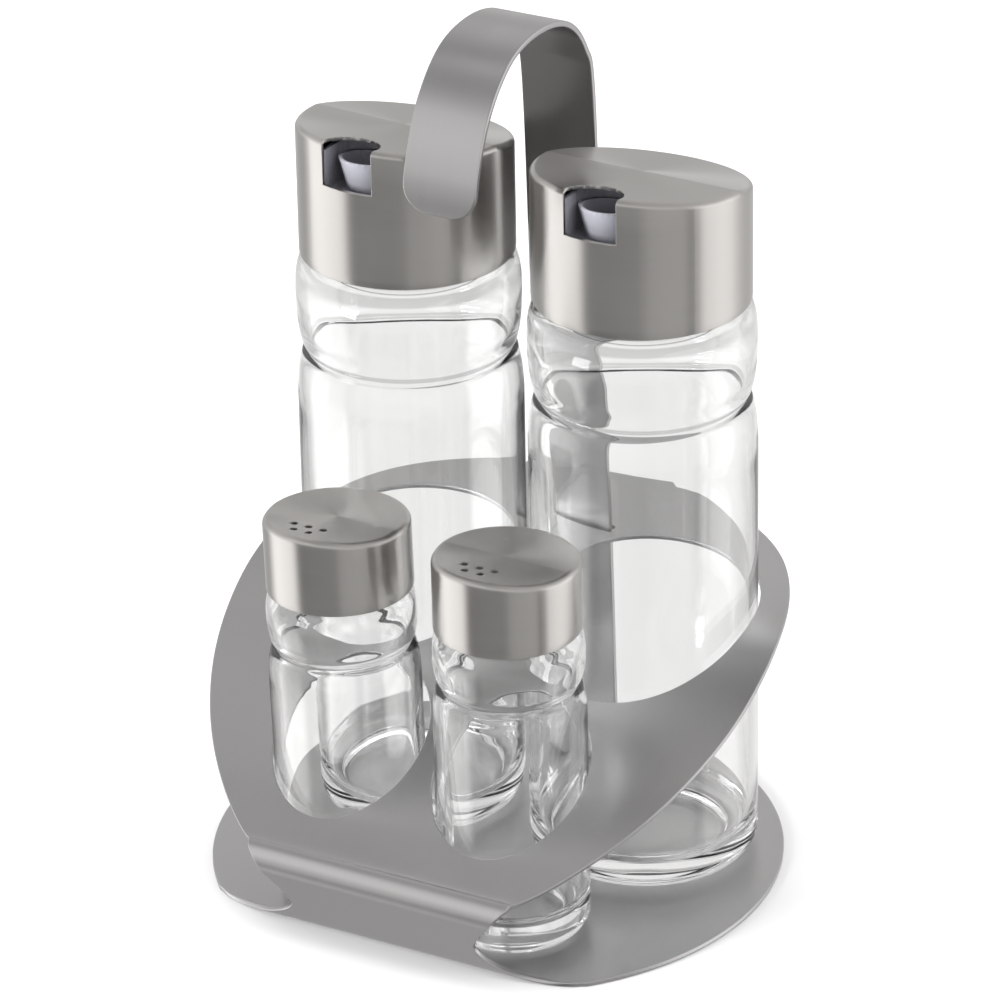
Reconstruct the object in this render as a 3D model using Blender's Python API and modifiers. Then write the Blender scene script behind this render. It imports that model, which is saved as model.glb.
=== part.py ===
"""Cruet set: folded steel stand with a strap handle, two glass cruets and two glass shakers.

Z is up, X runs left to right and the low folded edge of the stand faces -Y.
Sizes are in millimetres, drawn from a zero on the table near the middle of the base plate,
and mm() and place() turn them into metres in the set's own frame.
"""
import math

import bmesh
import bpy
from mathutils import Matrix, Vector

GAP = 0.3
# the middle of the whole set's depth, which becomes Y = 0
MID_Y = 7.664

# stand: one folded sheet, a round base below and a round rack above
SHEET_T = 1.2
BASE_R = 68.9
BASE_Y = 1.8
RACK_R = 69.2
RACK_Y = 4.5
# the two folds of the front: corner of the side line (Y, Z) and bend radius
LOW_FOLD = (-50.7, 0.6)
LOW_FOLD_R = 3.5
TOP_FOLD = (-59.1, 20.0)
TOP_FOLD_R = 5.2
# side line of the rack (Y, Z), from the top fold to the rear
RACK_LINE = [(-53.1, 23.6), (-42.3, 32.2), (-24.3, 43.9), (-7.2, 53.4), (8.1, 61.2), (22.5, 66.3),
             (45.0, 68.6), (73.7, 67.6)]
# half width of the waisted front by distance along the sheet from the edge of the base
WAIST = [(-3.0, 49.6), (0.0, 45.2), (4.2, 30.6), (9.0, 24.8), (14.5, 26.8), (24.2, 34.4)]

# places and sizes of the vessels
CRUET_X = 31.05
CRUET_Y = 19.3
CRUET_HOLE_R = 27.9
SHAKER_X = 21.5
SHAKER_Y = -29.0
SHAKER_HOLE_R = 18.8
FOOT_Z = SHEET_T + GAP

# glass, from the middle of the inner floor up to the rim and down the outside (radius, height)
CRUET_RIM_Z = 162.6
CRUET_GLASS = [(0.0, 6.6), (20.0, 7.2), (23.6, 9.0), (24.9, 13.0), (24.8, 108.0), (23.6, 115.4),
               (22.9, 121.2), (23.4, 125.0), (24.3, 132.5), (23.6, 139.6), (20.4, 144.0), (18.3, 147.6),
               (18.3, 161.6), (18.9, CRUET_RIM_Z), (20.3, CRUET_RIM_Z), (20.8, 161.4), (20.8, 146.4),
               (21.2, 145.6), (24.6, 144.7), (26.2, 141.6), (26.8, 136.5), (26.6, 129.6), (25.7, 124.6),
               (25.1, 121.2), (25.6, 118.0), (26.7, 113.0), (27.0, 106.0), (27.0, 8.0), (26.6, 5.0),
               (25.2, 2.8), (22.4, FOOT_Z), (20.5, FOOT_Z), (0.0, 2.7)]
SHAKER_RIM_Z = 91.3
SHAKER_GLASS = [(0.0, 7.2), (11.5, 7.6), (15.0, 9.4), (15.9, 14.0), (15.7, 60.0), (14.6, 66.8),
                (15.6, 73.8), (14.6, 78.7), (12.3, 82.3), (12.3, 90.6), (12.9, SHAKER_RIM_Z),
                (14.1, SHAKER_RIM_Z), (14.6, 90.4), (14.6, 81.7), (15.4, 80.7), (17.3, 78.5),
                (17.8, 74.4), (17.4, 69.6), (16.6, 66.6), (17.2, 63.4), (18.0, 59.0), (18.0, 7.4),
                (17.8, 5.0), (16.8, 2.8), (14.2, FOOT_Z), (12.4, FOOT_Z), (0.0, 2.5)]

# handle strap
STRAP_T = 1.5
STRAP_HALF = 9.45
STRAP_TIP_R = 6.5
STRAP_SLOT_GAP = 0.5
STRAP_FOOT = [(56.5, 2.25), (48.2, 2.25), (45.9, 3.4)]
STRAP_LINE = [(45.0, 6.0), (43.9, 45.0), (41.4, 125.0), (39.6, 183.0), (36.2, 196.8), (27.6, 205.8),
              (14.0, 209.0), (0.4, 206.6), (-10.3, 197.0), (-16.3, 183.6), (-17.5, 174.2)]

# steel caps: a thin turned cup whose top is two slopes that meet in a crease
SHELL_T = 0.8
CAP_EDGE_R = 1.6
CRUET_CAP_R = 25.6
CRUET_CAP_Z = 145.8
CRUET_CAP_TOP = {"front": 34.7, "crease": 30.9, "rear": 24.6, "scoop": 0.5}
SHAKER_CAP_R = 17.35
SHAKER_CAP_Z = 81.0
SHAKER_CAP_TOP = {"front": 19.5, "crease": 17.5, "rear": 16.6, "scoop": 0.6}
SHAKER_TURN = {"left": -2.0, "right": -1.0}
SHAKER_DRILL_R = 0.9
SHAKER_DRILLS = [(-6.4, -8.2), (-2.4, -8.2), (1.6, -8.2), (-4.4, -11.4), (-0.4, -11.4)]
# the drill's two ends above the cap's lower edge
SHAKER_DRILL_Z = (14.0, 28.0)

# pouring window of a cruet cap, in plan about the cap's middle
WINDOW_HALF = 6.7
WINDOW_Y = -22.4
WINDOW_ARCH = 7.0
WINDOW_FLOOR = 23.4

# pourer: plug, flange, skirt and the spout behind the window, with its middle and outer radius given
# at its foot on the flange and at its lip, and how far the lip rises towards the window
SEAT = 18.2
FLANGE_T = 2.6
SPOUT_Y = (-13.4, -15.4)
SPOUT_R = (6.4, 7.0)
SPOUT_WALL = 1.0
SPOUT_TOP = 28.2
SPOUT_RISE = 1.1
# how deep the spout and its wall are sunk into the flange, and the spout's own floor
SPOUT_SINK = 1.0
SPOUT_DISH = 0.4
POUR_R = 3.3
POUR_Y = -11.4
# low wall round the spout, open to the window: inside radius, thickness, front end and top
DRIP_R = 8.0
DRIP_WALL = 1.2
DRIP_END_Y = -22.3
DRIP_TOP = 30.6
VENT_R = 1.5
VENT_Y = 11.0


def mm(value):
    """Millimetres to metres."""
    return value * 0.001


def place(x, y, z=0.0):
    """A point of the drawing in the set's own frame, in metres."""
    return Vector((mm(x), mm(y - MID_Y), mm(z)))


def clear_scene():
    """Remove every object that is in the file."""
    for item in list(bpy.data.objects):
        bpy.data.objects.remove(item, do_unlink=True)


def collection(name):
    """Make a collection under the scene."""
    group = bpy.data.collections.new(name)
    bpy.context.scene.collection.children.link(group)
    return group


def material(name, colour, metallic, roughness, transmission=0.0):
    """A plain Principled material."""
    mat = bpy.data.materials.new(name)
    mat.use_nodes = True
    shader = mat.node_tree.nodes["Principled BSDF"]
    shader.inputs["Base Color"].default_value = (*colour, 1.0)
    shader.inputs["Metallic"].default_value = metallic
    shader.inputs["Roughness"].default_value = roughness
    shader.inputs["Transmission Weight"].default_value = transmission
    return mat


def add_object(name, data, where, group, mat=None):
    """Put a mesh or a curve into a collection as a named object."""
    item = bpy.data.objects.new(name, data)
    item.location = where
    group.objects.link(item)
    if mat is not None:
        data.materials.append(mat)
    return item


def from_bmesh(name, work, where, group, mat=None):
    """Turn a bmesh into a named object."""
    data = bpy.data.meshes.new(name)
    work.to_mesh(data)
    work.free()
    return add_object(name, data, where, group, mat)


def bake(item):
    """Apply the modifiers, weld the seams and turn the faces outwards."""
    bpy.context.view_layer.update()
    graph = bpy.context.evaluated_depsgraph_get()
    data = bpy.data.meshes.new_from_object(item.evaluated_get(graph))
    work = bmesh.new()
    work.from_mesh(data)
    bmesh.ops.remove_doubles(work, verts=work.verts, dist=0.000002)
    bmesh.ops.dissolve_degenerate(work, edges=work.edges, dist=0.000001)
    bmesh.ops.recalc_face_normals(work, faces=work.faces)
    work.to_mesh(data)
    work.free()
    item.modifiers.clear()
    item.data = data


def smooth(item, degrees):
    """Shade smooth, keeping the edges sharper than the angle."""
    item.data.shade_smooth()
    item.data.set_sharp_from_angle(angle=math.radians(degrees))


def combine(item, cut=(), join=()):
    """Join solids to the item and cut others from it, with exact Booleans."""
    for operation, tools in (("UNION", join), ("DIFFERENCE", cut)):
        for tool in tools:
            step = item.modifiers.new("boolean", "BOOLEAN")
            step.operation = operation
            step.solver = "EXACT"
            step.object = tool
    bake(item)


def hide_tool(item):
    """Mark a cutter as one that isn't part of the object."""
    item.hide_render = True
    item.display_type = "WIRE"
    return item


def round_tool(name, radius, sides, x, y, low, high, group):
    """Upright round cutter."""
    work = bmesh.new()
    bmesh.ops.create_cone(work, cap_ends=True, segments=sides, radius1=mm(radius),
                          radius2=mm(radius), depth=mm(high - low))
    return hide_tool(from_bmesh(name, work, place(x, y, (low + high) / 2), group))


def box_tool(name, size, x, y, z, group):
    """Box cutter of the given three sizes."""
    work = bmesh.new()
    bmesh.ops.create_cube(work, size=1.0, matrix=Matrix.Diagonal((*[mm(s) for s in size], 1.0)))
    return hide_tool(from_bmesh(name, work, place(x, y, z), group))


def outline_tool(name, points, x, y, low, high, group):
    """A plan outline drawn as a filled 2D curve and raised between two heights, as a mesh."""
    curve = bpy.data.curves.new(name, "CURVE")
    curve.dimensions = "2D"
    curve.fill_mode = "BOTH"
    curve.extrude = mm((high - low) / 2)
    spline = curve.splines.new("POLY")
    spline.points.add(len(points) - 1)
    for point, (px, py) in zip(spline.points, points):
        point.co = (mm(px), mm(py), 0.0, 1.0)
    spline.use_cyclic_u = True
    drawing = add_object(name + "_outline", curve, place(x, y, (low + high) / 2), group)
    bpy.context.view_layer.update()
    graph = bpy.context.evaluated_depsgraph_get()
    data = bpy.data.meshes.new_from_object(drawing.evaluated_get(graph))
    item = add_object(name, data, drawing.location, group)
    bpy.data.objects.remove(drawing)
    bake(item)
    return hide_tool(item)


def turned(name, profile, steps, x, y, group, mat, ring=False):
    """Screw a profile of (radius, height) points round an upright axis; a ring's profile is closed."""
    data = bpy.data.meshes.new(name)
    count = len(profile)
    edges = [(i, (i + 1) % count) for i in range(count if ring else count - 1)]
    data.from_pydata([(mm(r), 0.0, mm(z)) for r, z in profile], edges, [])
    item = add_object(name, data, place(x, y), group, mat)
    spin = item.modifiers.new("turn", "SCREW")
    spin.steps = steps
    spin.render_steps = steps
    spin.use_merge_vertices = True
    spin.merge_threshold = 0.00001
    bake(item)
    return item


def at(points, x):
    """Straight-line lookup in a list of (x, y) pairs."""
    for (x0, y0), (x1, y1) in zip(points, points[1:]):
        if x <= x1:
            return y0 + (y1 - y0) * max(0.0, x - x0) / (x1 - x0)
    return points[-1][1]


def through(points, steps):
    """Smooth curve through the points (Catmull-Rom), with this many steps between neighbours."""
    out = []
    for i in range(len(points) - 1):
        p0, p1, p2, p3 = (Vector(points[min(max(i + k, 0), len(points) - 1)]) for k in (-1, 0, 1, 2))
        for k in range(steps):
            t = k / steps
            square = (2 * p0 - 5 * p1 + 4 * p2 - p3) * t ** 2
            cube = (3 * p1 - p0 - 3 * p2 + p3) * t ** 3
            out.append(0.5 * (2 * p1 + (p2 - p0) * t + square + cube))
    out.append(Vector(points[-1]))
    return out


def fillet(before, corner, after, radius, steps):
    """Points of the arc that rounds a corner between two straight runs."""
    tip = Vector(corner)
    u = (Vector(before) - tip).normalized()
    v = (Vector(after) - tip).normalized()
    half = math.acos(u.dot(v)) / 2
    centre = tip + (u + v).normalized() * (radius / math.sin(half))
    start = tip + u * (radius / math.tan(half)) - centre
    sweep = start.angle_signed(tip + v * (radius / math.tan(half)) - centre)
    return [centre + Matrix.Rotation(-sweep * k / steps, 2) @ start for k in range(steps + 1)]


def bent_sheet(name, line, halves, thick, group, mat):
    """Strip of sheet bent along a side line (Y, Z), with its half width at each point, then thickened."""
    work = bmesh.new()
    rows = len(line) - 1
    bmesh.ops.create_grid(work, x_segments=1, y_segments=rows, size=1.0)
    for vert in work.verts:
        i = round((vert.co.y + 1.0) / 2.0 * rows)
        vert.co = (math.copysign(mm(halves[i]), vert.co.x), mm(line[i].x), mm(line[i].y))
    item = from_bmesh(name, work, place(0.0, 0.0), group, mat)
    wall = item.modifiers.new("thickness", "SOLIDIFY")
    wall.thickness = mm(thick)
    wall.offset = 0.0
    wall.use_even_offset = True
    bake(item)
    return item


def base_line():
    """Side line and half widths of the round base, from the rear to the waist."""
    line = []
    halves = []
    for degrees in [87.0 - 7.25 * k for k in range(13)] + [-8.8 * k for k in range(1, 6)]:
        a = math.radians(degrees)
        line.append(Vector((BASE_Y + BASE_R * math.sin(a), SHEET_T / 2)))
        halves.append(BASE_R * math.cos(a))
    return line, halves


def front_line(start):
    """Side line and half widths of the folded front, from the end of the base to the rack."""
    low = fillet(start, LOW_FOLD, TOP_FOLD, LOW_FOLD_R, 5)
    top = fillet(LOW_FOLD, TOP_FOLD, RACK_LINE[0], TOP_FOLD_R, 6)
    face = [low[-1].lerp(top[0], k / 5) for k in range(1, 5)]
    line = low + face + top
    waist = [tuple(p) for p in through(WAIST, 5)]
    halves = []
    run = -(low[0] - Vector(start)).length
    previous = low[0]
    for p in line:
        run += (p - previous).length
        previous = p
        halves.append(at(waist, run))
    return line, halves


def rack_line(start):
    """Side line and half widths of the round rack, from the top fold to the rear."""
    side = through([tuple(start)] + RACK_LINE, 4)[1:]
    line = [p for p in side if p.x < RACK_Y + 6.0]
    heights = [tuple(p) for p in side]
    for k in range(13):
        y = RACK_Y + RACK_R * math.sin(math.radians(9.0 + 6.5 * k))
        line.append(Vector((y, at(heights, y))))
    halves = [math.sqrt(max(0.0, RACK_R ** 2 - (p.x - RACK_Y) ** 2)) for p in line]
    return line, halves


def stand_sheet(group, tools, mat):
    """Round base, waisted front fold and rising rack, bent from one sheet, with its holes."""
    base, base_halves = base_line()
    front, front_halves = front_line(tuple(base[-1]))
    rack, rack_halves = rack_line(front[-1])
    item = bent_sheet("stand_sheet", base + front + rack, base_halves + front_halves + rack_halves,
                      SHEET_T, group, mat)
    holes = []
    for s in (-1, 1):
        holes.append(round_tool("cruet_hole", CRUET_HOLE_R, 48, s * CRUET_X, CRUET_Y, 20.0, 90.0, tools))
        holes.append(round_tool("shaker_hole", SHAKER_HOLE_R, 36, s * SHAKER_X, SHAKER_Y, 14.0, 80.0,
                                tools))
    leg_z = 68.6
    leg_y = at([(z, y) for y, z in STRAP_LINE[:4]], leg_z)
    slot = (2 * (STRAP_HALF + STRAP_SLOT_GAP), STRAP_T + 3 * STRAP_SLOT_GAP, 16.0)
    holes.append(box_tool("strap_slot", slot, 0.0, leg_y, leg_z, tools))
    combine(item, cut=holes)
    smooth(item, 24.0)


def handle_strap(group, mat):
    """Strap that stands on the base, passes the rack and arches over to a rounded free end."""
    path = through(STRAP_LINE, 3)
    tip = path[-1]
    along = (tip - path[-2]).normalized()
    kept = [p for p in path if (tip - p).dot(along) > STRAP_TIP_R + 1.0 or p.x > 0.0]
    line = [Vector(p) for p in STRAP_FOOT] + kept
    halves = [STRAP_HALF] * len(line)
    for degrees in (0.0, 17.0, 34.0, 51.0, 68.0, 85.0):
        a = math.radians(degrees)
        line.append(tip - along * STRAP_TIP_R * (1.0 - math.sin(a)))
        halves.append(STRAP_HALF - STRAP_TIP_R * (1.0 - math.cos(a)))
    item = bent_sheet("handle_strap", line, halves, STRAP_T, group, mat)
    smooth(item, 30.0)


def vessel(name, glass, steps, x, y, group, mat):
    """Open glass vessel."""
    item = turned(name, glass, steps, x, y, group, mat)
    smooth(item, 32.0)


def cap_height(y, radius, top):
    """Height of a cap's top above its lower edge; it is scooped in front of the crease."""
    t = -y / radius
    if t < 0.0:
        return top["crease"] - (top["rear"] - top["crease"]) * t
    slope = top["crease"] + (top["front"] - top["crease"]) * t
    return slope - top["scoop"] * math.sin(math.pi * min(1.0, t))


def cap_shell(name, radius, top, low, steps, x, y, turn, cuts, group, mat):
    """Thin steel cap: a turned cup with its flat top moved to the two slopes, then thickened inwards."""
    profile = [(radius * share, 0.0) for share in (0.0, 0.3, 0.62)]
    for k in range(4):
        a = math.radians(30.0 * (3 - k))
        profile.append((radius - CAP_EDGE_R * (1 - math.cos(a)), -CAP_EDGE_R * (1 - math.sin(a))))
    profile.append((radius, -100.0))
    item = turned(name, profile, steps, x, y, group, mat)
    for vert in item.data.vertices:
        if vert.co.z < mm(-50.0):
            vert.co.z = mm(low)
        else:
            vert.co.z += mm(low + cap_height(vert.co.y * 1000.0, radius, top))
    item.data.transform(Matrix.Rotation(math.radians(turn), 4, "Z"))
    wall = item.modifiers.new("thickness", "SOLIDIFY")
    wall.thickness = mm(SHELL_T)
    wall.offset = -1.0
    wall.use_even_offset = True
    combine(item, cut=cuts)
    smooth(item, 20.0)


def pouring_window(x, y, tools):
    """Cutter for the window: straight sides with an arched inner end."""
    pts = [(WINDOW_HALF, WINDOW_Y - 7.0)]
    for k in range(13):
        a = math.pi * k / 12
        pts.append((WINDOW_HALF * math.cos(a), WINDOW_Y + WINDOW_ARCH * math.sin(a)))
    pts.append((-WINDOW_HALF, WINDOW_Y - 7.0))
    low = CRUET_CAP_Z + WINDOW_FLOOR
    return outline_tool("pouring_window", pts, x, y, low, low + 22.0, tools)


def spout_tool(name, x, y, low, high, wall, rise, group):
    """Funnel between two heights above the cap's lower edge, with a wall taken off its radius."""
    foot = SEAT + FLANGE_T
    shares = [(z - foot) / (SPOUT_TOP - foot) for z in (low, high)]
    radii = [SPOUT_R[0] + (SPOUT_R[1] - SPOUT_R[0]) * t - wall for t in shares]
    middles = [SPOUT_Y[0] + (SPOUT_Y[1] - SPOUT_Y[0]) * t for t in shares]
    work = bmesh.new()
    bmesh.ops.create_cone(work, cap_ends=True, segments=24, radius1=mm(radii[0]), radius2=mm(radii[1]),
                          depth=mm(high - low))
    for vert in work.verts:
        if vert.co.z > 0.0:
            vert.co.z -= rise * vert.co.y / radii[1]
            vert.co.y += mm((middles[1] - middles[0]) / 2)
        else:
            vert.co.y -= mm((middles[1] - middles[0]) / 2)
    spot = place(x, y + (middles[0] + middles[1]) / 2, CRUET_CAP_Z + (low + high) / 2)
    return hide_tool(from_bmesh(name, work, spot, group))


def drip_outline():
    """Plan of the wall round the spout: a rounded channel, open towards the window."""
    outer = DRIP_R + DRIP_WALL
    turns = [math.radians(-8.0 + 24.5 * k) for k in range(9)]
    pts = [(outer, DRIP_END_Y)]
    pts += [(outer * math.cos(a), SPOUT_Y[1] + outer * math.sin(a)) for a in turns]
    pts += [(-outer, DRIP_END_Y), (-DRIP_R, DRIP_END_Y)]
    pts += [(DRIP_R * math.cos(a), SPOUT_Y[1] + DRIP_R * math.sin(a)) for a in reversed(turns)]
    pts.append((DRIP_R, DRIP_END_Y))
    return pts


def pourer_insert(name, x, y, tools, group, mat):
    """Plastic plug, flange and skirt in one moulding, with a leaning spout and its drip wall."""
    low = CRUET_CAP_Z
    seat = low + SEAT
    profile = [(0.0, seat + FLANGE_T), (15.0, seat + FLANGE_T), (24.4, seat + 2.2), (24.2, low + 2.0),
               (21.1, low + 2.0), (21.1, seat), (17.9, seat), (17.4, seat - 6.0), (16.8, seat - 7.0),
               (15.2, seat - 7.0), (15.2, seat), (0.0, seat)]
    item = turned(name, profile, 32, x, y, group, mat)
    root = SEAT + FLANGE_T - SPOUT_SINK
    dish = SEAT + FLANGE_T - SPOUT_DISH
    spout = spout_tool("spout", x, y, root, SPOUT_TOP, 0.0, SPOUT_RISE, tools)
    wall = outline_tool("drip_wall", drip_outline(), x, y, low + root, low + DRIP_TOP, tools)
    inside = spout_tool("spout_inside", x, y, dish, SPOUT_TOP + SPOUT_RISE + 1.0, SPOUT_WALL, 0.0, tools)
    under = seat - 2.0
    over = seat + FLANGE_T
    pour = round_tool("pour_hole", POUR_R, 24, x, y + POUR_Y, under, over, tools)
    vent = round_tool("vent_hole", VENT_R, 12, x, y + VENT_Y, under, over + 2.0, tools)
    combine(item, cut=[inside, pour, vent], join=[spout, wall])
    smooth(item, 32.0)


def shaker_collar(name, x, y, group, mat):
    """Plastic collar that fits over the jar neck and grips the steel cap."""
    low = SHAKER_CAP_Z + 1.2
    seat = SHAKER_RIM_Z + 1.1 + 2 * GAP
    profile = [(10.6, seat + 1.5), (15.6, seat + 1.5), (16.2, seat + 0.9), (16.1, low), (14.9, low),
               (14.9, seat), (10.6, seat)]
    item = turned(name, profile, 28, x, y, group, mat, ring=True)
    smooth(item, 32.0)


def seal_ring(name, inner, outer, rim, thick, x, y, group, mat):
    """Soft flat ring between the glass rim and the closure, with its outer edges eased."""
    low = rim + GAP
    high = low + thick
    ease = 0.3
    profile = [(inner, high), (outer - ease, high), (outer, high - ease), (outer, low + ease),
               (outer - ease, low), (inner, low)]
    item = turned(name, profile, 24, x, y, group, mat, ring=True)
    smooth(item, 32.0)


def cruet(side, x, y, parts, tools, mats):
    """Oil or vinegar cruet: bottle, seal, pourer and windowed cap."""
    vessel("cruet_bottle_" + side, CRUET_GLASS, 36, x, y, parts, mats["glass"])
    seal_ring("cruet_seal_" + side, 18.5, 20.7, CRUET_RIM_Z, 0.8, x, y, parts, mats["seal"])
    pourer_insert("cruet_pourer_" + side, x, y, tools, parts, mats["plastic"])
    cap_shell("cruet_cap_" + side, CRUET_CAP_R, CRUET_CAP_TOP, CRUET_CAP_Z, 40, x, y, 0.0,
              [pouring_window(x, y, tools)], parts, mats["cap"])


def shaker(side, x, y, parts, tools, mats):
    """Salt or pepper shaker: jar, seal, collar and drilled cap."""
    vessel("shaker_jar_" + side, SHAKER_GLASS, 32, x, y, parts, mats["glass"])
    seal_ring("shaker_seal_" + side, 12.4, 14.5, SHAKER_RIM_Z, 1.1, x, y, parts, mats["seal"])
    shaker_collar("shaker_collar_" + side, x, y, parts, mats["collar"])
    turn = Matrix.Rotation(math.radians(SHAKER_TURN[side]), 2)
    low = SHAKER_CAP_Z + SHAKER_DRILL_Z[0]
    high = SHAKER_CAP_Z + SHAKER_DRILL_Z[1]
    drills = []
    for spot in SHAKER_DRILLS:
        hole = turn @ Vector(spot)
        drills.append(round_tool("shake_hole", SHAKER_DRILL_R, 10, x + hole.x, y + hole.y, low, high,
                                 tools))
    cap_shell("shaker_cap_" + side, SHAKER_CAP_R, SHAKER_CAP_TOP, SHAKER_CAP_Z, 36, x, y,
              SHAKER_TURN[side], drills, parts, mats["cap"])


def main():
    """Build every piece of the set."""
    clear_scene()
    parts = collection("cruet_set")
    tools = collection("cutters")
    mats = {"sheet": material("sheet steel", (0.56, 0.55, 0.54), 1.0, 0.34),
            "strap": material("strap steel", (0.58, 0.57, 0.56), 1.0, 0.32),
            "cap": material("cap steel", (0.60, 0.58, 0.56), 1.0, 0.28),
            "glass": material("clear glass", (0.96, 0.98, 0.97), 0.0, 0.03, 1.0),
            "plastic": material("grey plastic", (0.32, 0.31, 0.36), 0.0, 0.42),
            "collar": material("white plastic", (0.72, 0.72, 0.71), 0.0, 0.45),
            "seal": material("clear silicone", (0.78, 0.79, 0.78), 0.0, 0.55)}
    stand_sheet(parts, tools, mats["sheet"])
    handle_strap(parts, mats["strap"])
    for side, s in (("left", -1), ("right", 1)):
        cruet(side, s * CRUET_X, CRUET_Y, parts, tools, mats)
        shaker(side, s * SHAKER_X, SHAKER_Y, parts, tools, mats)


main()
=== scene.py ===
"""Looks of the cruet set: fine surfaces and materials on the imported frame, in a plain studio.

Shapes are drawn in millimetres from the middle of the base plate and turned into the frame's
metres by place(). The frame gives the places: each vessel stands where its CAD solid stands.
"""
import math

import bmesh
import bpy
from mathutils import Matrix, Vector


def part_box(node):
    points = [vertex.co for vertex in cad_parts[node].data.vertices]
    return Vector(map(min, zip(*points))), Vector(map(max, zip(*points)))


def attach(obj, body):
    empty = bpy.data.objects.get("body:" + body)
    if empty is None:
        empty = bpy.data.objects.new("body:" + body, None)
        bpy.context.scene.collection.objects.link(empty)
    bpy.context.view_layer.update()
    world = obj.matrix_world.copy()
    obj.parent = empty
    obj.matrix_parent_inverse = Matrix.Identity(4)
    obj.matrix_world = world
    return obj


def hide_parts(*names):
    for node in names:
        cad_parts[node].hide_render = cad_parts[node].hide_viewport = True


MM = 0.001

# in metres: points this close are one point, and a cut this close to a point goes through it
MERGE_GAP = 2e-7
CUT_GAP = 1e-7
# edges bent by more degrees than this are drawn sharp
SHARP_PLAIN = 35.0
SHARP_SHEET = 40.0
SHARP_ROUND = 60.0
SHARP_CAP = 32.0
# edges bent by more than this are eased after a cut
EASED_ANGLE = 50.0
# how many faces run round each turned or cut shape
VESSEL_STEPS = 128
CAP_STEPS = 160
INSERT_STEPS = 96
RACK_HOLE_STEPS = 96
SPOUT_STEPS = 64
POUR_STEPS = 48
VENT_STEPS = 32
WINDOW_STEPS = 32
DRILL_STEPS = 24

# stand, one folded sheet (the same drawing as the CAD solid's)
SHEET_T = 1.2
SHEET_EDGE = 0.28
BASE_R = 68.9
BASE_Y = 1.8
BASE_END = -44.0
RACK_R = 69.2
RACK_Y = 4.5
LOW_FOLD = (-50.7, 0.6)
LOW_FOLD_R = 3.5
TOP_FOLD = (-59.1, 20.0)
TOP_FOLD_R = 5.2
RACK_LINE = [(-53.1, 23.6), (-42.3, 32.2), (-24.3, 43.9), (-7.2, 53.4), (8.1, 61.2),
             (22.5, 66.3), (45.0, 68.6), (73.7, 67.6)]
# half widths of the waist, as (distance past the start of the low fold, half width)
WAIST = [(-3.0, 49.6), (0.0, 45.2), (4.2, 30.6), (9.0, 24.8), (14.5, 26.8), (24.2, 34.4)]
# the waist's outline keeps this far along the sheet from the base's circle and from the rack's
WAIST_FROM_BASE = 0.5
WAIST_FROM_RACK = 0.3
RACK_TIP_GAP = 0.005
BASE_STEPS = 90
RACK_STEPS = 119
# a face of a flat blank is part of a broad side when its normal is this near to upright
BROAD_SIDE = 0.999
CRUET_Y = 19.3
CRUET_HOLE_R = 27.9
SHAKER_HOLE_R = 18.8

# handle strap
STRAP_T = 1.5
STRAP_EDGE = 0.35
STRAP_HALF = 9.45
STRAP_TIP_R = 6.5
STRAP_SLOT_GAP = 0.5
# the slot's gap before and behind the sloping leg, as a multiple of the gap beside it
SLOT_DEEPER = 1.5
SLOT_CORNER_R = 0.6
SLOT_HEIGHT = 68.6
# the foot's cut corner: how far it reaches, and how far in the middle of its curve lies
FOOT_CORNER = 0.6
FOOT_CORNER_IN = 0.17
STRAP_FOOT = (56.5, 2.25)
STRAP_HEEL = (45.1, 2.25)
STRAP_HEEL_R = 3.2
STRAP_LINE = [(45.0, 6.0), (43.9, 45.0), (41.4, 125.0), (39.6, 183.0), (36.2, 196.8),
              (27.6, 205.8), (14.0, 209.0), (0.4, 206.6), (-10.3, 197.0), (-16.3, 183.6),
              (-17.5, 174.2)]

# glass, as (radius, height) from the middle of the inner floor up to the rim and down the outside
CRUET_GLASS = [(0.0, 6.4), (10.0, 6.6), (17.5, 7.0), (21.5, 7.9), (23.8, 9.8), (24.8, 13.5),
               (24.9, 30.0), (25.0, 70.0), (25.4, 98.0), (25.6, 109.0), (25.2, 114.6),
               (24.5, 118.2), (24.0, 120.6), (24.0, 122.4), (24.5, 124.8), (25.1, 127.6),
               (25.4, 131.6), (25.3, 136.2), (24.0, 140.6), (21.0, 143.5), (18.7, 146.8),
               (18.3, 150.0), (18.3, 161.4), (18.8, 162.5), (19.6, 162.6), (20.4, 162.4),
               (20.8, 161.2), (20.8, 156.0), (20.8, 147.6), (21.1, 146.0), (22.4, 145.2),
               (24.4, 144.7), (25.8, 143.2), (26.6, 140.0), (26.8, 135.8), (26.7, 130.6),
               (26.35, 126.6), (25.9, 124.0), (25.5, 122.7), (24.95, 121.9), (24.75, 121.3),
               (24.95, 120.7), (25.5, 119.9), (25.95, 118.4), (26.5, 115.6), (26.9, 111.0),
               (27.0, 104.0), (27.0, 70.0), (27.0, 30.0), (27.0, 8.0), (26.6, 4.8), (25.3, 2.6),
               (23.2, 1.6), (21.4, 1.5), (20.2, 1.9), (17.0, 2.5), (10.0, 2.7), (0.0, 2.7)]
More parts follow.
